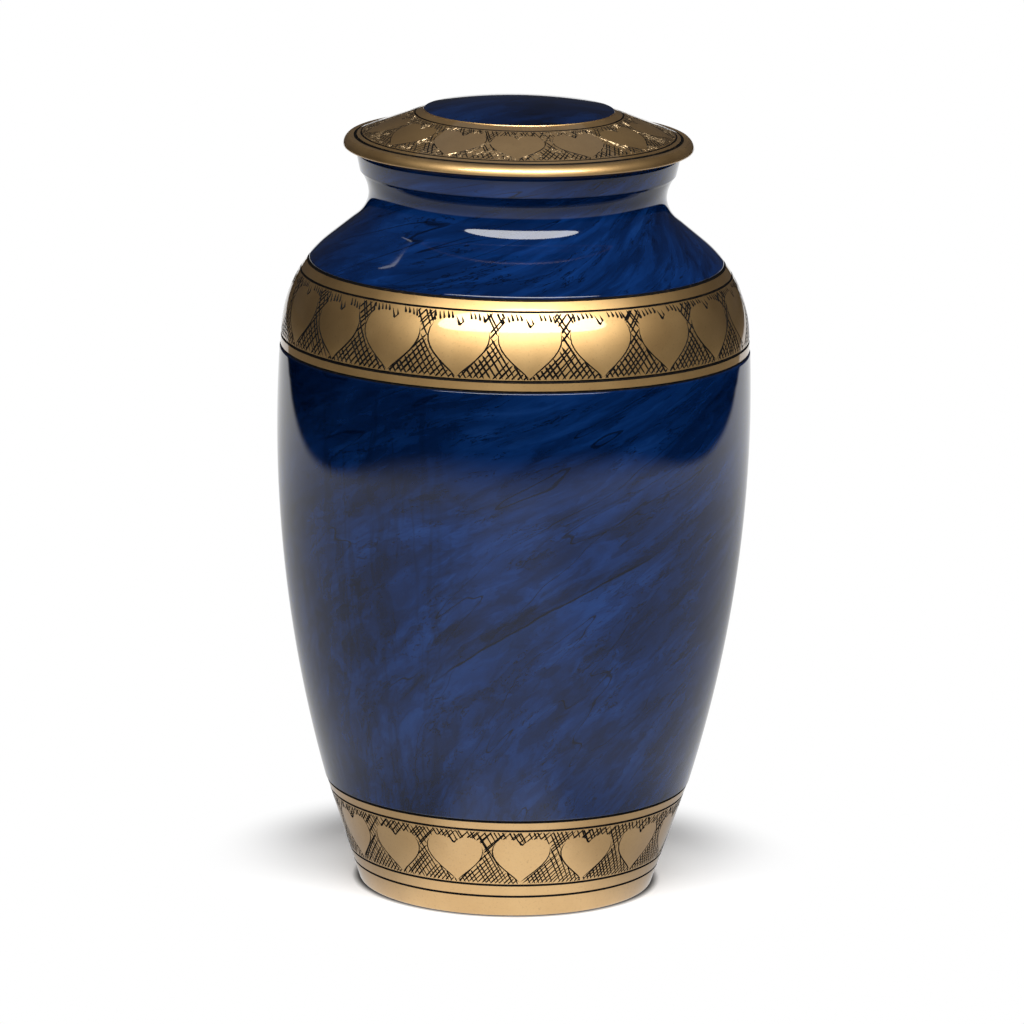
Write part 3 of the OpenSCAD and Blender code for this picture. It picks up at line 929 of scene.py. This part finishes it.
outer_cut = np.array([[CUT_OUT, FLANGE_TOP], [52.5, FLANGE_TOP - 0.3], [52.2, FLANGE_TOP - 0.35],
                      [51.95, lid_at(51.95) - 0.25], lid_top(LID_BAND_OUT)])
lid.section(outer_cut, INLAY, *steps[0:2])


def lid_v(r):
    """The texture height of a radius on the lid's sloping band."""
    return L_BAND[0] + (L_BAND[2] - L_BAND[0]) * (LID_BAND_OUT - r) / (LID_BAND_OUT - DOME_RADIUS)


def lid_cut(r, low, high):
    """A narrow turned groove in the sloping band, filled with black."""
    across = np.array([LID_HALF_CUT, 0.12, -0.12, -LID_HALF_CUT])
    lid.section(lid_top(r + across, [0, 0.22, 0.22, 0]), INLAY, low, high)


lid.section(lid_top(np.array([LID_BAND_OUT, 51.2, LID_FIELD_GROOVE + LID_HALF_CUT])), BRASS,
            lid_v(LID_BAND_OUT), lid_v(LID_FIELD_GROOVE + LID_HALF_CUT))
lid_cut(LID_FIELD_GROOVE, *steps[1:3])

# the hearts' points look outwards, so the sheet's t is the radius taken backwards
LID_REFERENCE = 42.0
lid_low, lid_high = -(LID_FIELD_GROOVE - LID_HALF_CUT), -(LID_INNER_GROOVE + LID_HALF_CUT)
lid_strokes = heart_band(13, 0.0, LID_REFERENCE, lid_low, lid_high, (9.3, 13.4, 0.87, 0.7), rng, {
    "outline": 0.17, "notch": (1.8, 1.9, 1.8, 1.6, 0.27),
    "hatch": [(119, 1.5, 0.23, 0.17, True), (55, 1.5, 0.22, 0.16, True)], "ticks": None})
t = np.linspace(lid_low, lid_high, 12)
lid.engraved(np.column_stack([t, lid_top(-t)]), LID_REFERENCE, lid_strokes,
             lid_v(-lid_low), lid_v(-lid_high), steps[2], steps[3], CUT)
lid_cut(LID_INNER_GROOVE, *steps[3:5])
inner_strip = lid_top(np.array([LID_INNER_GROOVE - LID_HALF_CUT, 32.0, DOME_RADIUS + 0.25]))
lid.section(inner_strip, BRASS, lid_v(LID_INNER_GROOVE - LID_HALF_CUT), L_BAND[1])
riser = np.array([inner_strip[-1], [DOME_RADIUS + 0.14, dome_low - 0.30],
                  [DOME_RADIUS + 0.10, dome_low - 0.12], [DOME_RADIUS, dome_low - 0.02]])
lid.section(riser, BRASS, *L_BAND[1:3])
dome = arc(dome_centre, dome_arc, 90 - dome_half, 90, 16)
dome[-1, 0] = 0
lid.section(np.concatenate([riser[-1:], dome]), ENAMEL, *L_DOME)


def lid_flow(xyz):
    """Coordinates that run along the dome's marbling, in cm, stretched across it at a slant."""
    along, across = 0.77 * xyz[:, 0] + 0.64 * xyz[:, 1], 0.77 * xyz[:, 1] - 0.64 * xyz[:, 0]
    return np.stack([20 + across / 14, 0 * along, along * 0.03], 1)


cap = lid.finish("engraved_lid", lid_flow)
for material in [marbled_enamel("Dome enamel", 0.55)] + finishes[1:]:
    cap.data.materials.append(material)
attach(cap, "root")
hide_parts("lid")

# ---------------------------------------------------------------------------
# Setting: a white table in a dark room, one wide soft lamp high in front, a small spot at the left that
# draws a streak on the shoulder, and a faint glow from behind.


def table_surface():
    """White where the camera looks, with the urn's shadow close to it, a painted contact shadow and a painted
    glow. Gloss sees a glowing sheet, a painted reflection of the lit table, with a rounded front end,
    brighter further off; other light meets plain white card."""
    g = Graph(bpy.data.materials.new("White table"))
    place = g.node("TexCoord", output="Object")
    x, y = (g.axis(place, i) for i in (0, 1))
    away = g.length(place)

    # what gloss sees is a glowing white sheet in place of the lit table, a painted reflection; it ends in
    # front as a superellipse, which blurs towards its front end
    side = g.math("ABSOLUTE", x - 0.03) / 0.66
    front = g.math("MAXIMUM", 0.0 - y, 0.0) / 0.67
    power = 2.4
    reach = g.math("POWER", g.math("POWER", side, power) + g.math("POWER", front, power), 1 / power)
    soft = 0.04 + front * 0.18
    sheet = g.ease(reach, 1.0 - soft, 1.0 + soft, 1.0, 0.0)
    # painted reflection: the glow is dimmer to the sides, with painted light straight before the foot and
    # painted shadow beside it
    aside = g.math("ABSOLUTE", x)
    middle = g.ease(aside, 0.06, 0.22, 0.76, 0.56)
    painted_light_and_shadow_by_foot = g.ease(away, 0.14, 0.08) * g.ease(aside, 0.025, 0.060, 0.38, -0.30)
    painted_table_glow = sheet * (g.ease(away, 0.35, 0.85, middle, 1.0) + painted_light_and_shadow_by_foot)

    # what the camera sees: paper that takes the urn's real shadow, with a painted contact shadow where the
    # foot touches it and a painted glow towards the front, then plain white
    # painted contact shadow: a dark ring on the paper round the foot
    clear_of_contact_shadow = g.ease(away, 0.0474, 0.0510)
    paper_with_painted_contact_shadow = g.mix(clear_of_contact_shadow, rgb(0.10, 0.10, 0.10), rgb(0.90, 0.90, 0.90))
    paper = g.node("BsdfDiffuse", {}, {"Color": paper_with_painted_contact_shadow})
    # a painted glow on the paper, stronger towards the front, that lightens the urn's shadow there
    lift = g.ease(y, 0.075, 0.020, 0.02, 0.25)
    near = g.node("AddShader", {}, {0: paper, 1: g.glow(clear_of_contact_shadow * lift)})
    behind = g.length(g.vector("SUBTRACT", place, (0.0, 0.012, 0.0)))
    seen = g.node("MixShader", {}, {0: g.ease(behind, 0.066, 0.102), 1: near, 2: g.glow(1.0)})

    # what other rays meet
    card = g.node("BsdfDiffuse", {}, {"Color": rgb(0.80, 0.80, 0.80)})
    glossy = g.node("LightPath", output="Is Glossy Ray")
    others = g.node("MixShader", {}, {0: glossy, 1: card, 2: g.glow(painted_table_glow)})
    both = g.node("MixShader", {}, {0: g.node("LightPath", output="Is Camera Ray"), 1: others, 2: seen})
    return g.finish(both)


bpy.ops.mesh.primitive_plane_add(size=24.0, location=(0, 0, 0))
table = bpy.context.object
table.name = "table"
table.data.materials.append(table_surface())

# the room is nearly dark, and white only to the camera
world = bpy.context.scene.world or bpy.data.worlds.new("Room")
bpy.context.scene.world = world
room = Graph(world, "World")
seen_directly = room.node("LightPath", output="Is Camera Ray")
shade = room.mix(seen_directly, rgb(0.032, 0.032, 0.034), rgb(1, 1, 1))
room.finish(room.node("Background", {}, {"Color": shade}))


def lamp(name, toward, distance, size, radiance, about=(0, 0, 0.17)):
    """A soft oval lamp that faces the urn from a direction. Its power follows from its radiance."""
    light = bpy.data.lights.new(name, "AREA")
    light.shape = "ELLIPSE"
    light.size, light.size_y = size
    light.energy = radiance * math.pi * (math.pi / 4 * size[0] * size[1])
    obj = bpy.data.objects.new(name, light)
    direction = Vector(toward).normalized()
    obj.location = Vector(about) + direction * distance
    obj.rotation_euler = direction.to_track_quat("Z", "Y").to_euler()
    bpy.context.scene.collection.objects.link(obj)


def heading(azimuth, elevation):
    """A direction from its angle to the right of front and its height, in degrees."""
    a, e = math.radians(azimuth), math.radians(elevation)
    return math.sin(a) * math.cos(e), -math.cos(a) * math.cos(e), math.sin(e)


lamp("Front soft box", heading(4, 44), 1.0, (1.50, 0.40), 11.6)
lamp("Side spot", heading(-127, 48), 0.9, (0.022, 0.10), 2.0, about=(-0.043, -0.048, 0.213))
lamp("Back glow", heading(180, 55), 1.0, (0.62, 0.56), 0.20)

# the camera looks slightly down, from far away, and is turned a little about its own line of sight
AIM_HEIGHT = 0.133
DISTANCE = 2.267
ELEVATION = math.radians(12.56)
AIM_DROP = math.radians(0.274156)   # the view's middle lies a little below the point it aims at
ROLL = math.radians(1.04)
camera_data = bpy.data.cameras.new("Camera")
camera_data.sensor_width = 36.0
camera_data.lens = 246.87
camera = bpy.data.objects.new("Camera", camera_data)
camera.location = (0, -DISTANCE * math.cos(ELEVATION), AIM_HEIGHT + DISTANCE * math.sin(ELEVATION))
camera.rotation_euler = (math.pi / 2 - (ELEVATION + AIM_DROP), 0, 0)
camera.rotation_euler.rotate_axis("Z", ROLL)
camera_data.clip_start = 0.05
bpy.context.scene.collection.objects.link(camera)
bpy.context.scene.camera = camera
bpy.context.scene.view_settings.view_transform = "Standard"
